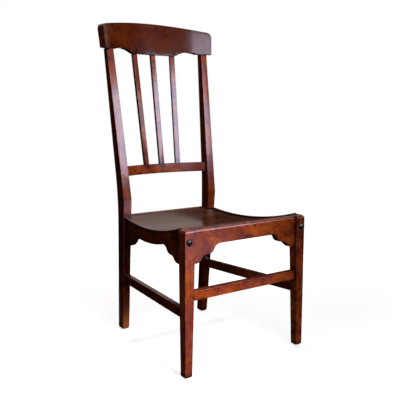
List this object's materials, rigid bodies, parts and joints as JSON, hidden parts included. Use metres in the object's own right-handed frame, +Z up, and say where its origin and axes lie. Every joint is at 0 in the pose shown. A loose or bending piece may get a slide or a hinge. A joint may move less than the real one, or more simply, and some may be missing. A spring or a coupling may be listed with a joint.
{
  "type": "nursing chair",
  "caption": "Low wooden nursing chair with a tall raked slat back, bowed crest rail, dished seat panel, bracketed seat rails and square tapered legs",
  "frame": {"origin": "On the floor, at the bottom centre of the whole chair's bounding box", "axes": "+Z is up, -Y is the front that a sitter faces, +X is to the right as seen from the front"},
  "size_m": [0.3934, 0.4888, 0.9],
  "materials": {
    "polished_wood": "red-brown stain under worn satin polish",
    "seat_plywood": "brown stain under satin polish",
    "bare_wood": "unfinished, aged",
    "dark_iron": "blackened, slightly shiny",
    "steel": "dull"
  },
  "bodies": {
    "root": {"crest_rail": "polished_wood", "back_post_left": "polished_wood", "back_post_right": "polished_wood", "back_slat_left": "polished_wood", "back_slat_centre": "polished_wood", "back_slat_right": "polished_wood", "lower_back_rail": "polished_wood", "front_leg_left": "polished_wood", "front_leg_right": "polished_wood", "front_seat_rail": "polished_wood", "back_seat_rail": "polished_wood", "side_seat_rail_left": "polished_wood", "side_seat_rail_right": "polished_wood", "front_stretcher": "polished_wood", "side_stretcher_left": "polished_wood", "side_stretcher_right": "polished_wood", "seat_panel": "seat_plywood", "corner_block_front_left": "bare_wood", "corner_block_front_right": "bare_wood", "corner_block_back_left": "bare_wood", "corner_block_back_right": "bare_wood", "leg_bolt_left": "dark_iron", "leg_bolt_right": "dark_iron", "leg_bolt_nuts": "steel", "corner_block_screws": "steel"}
  },
  "joints": []
}
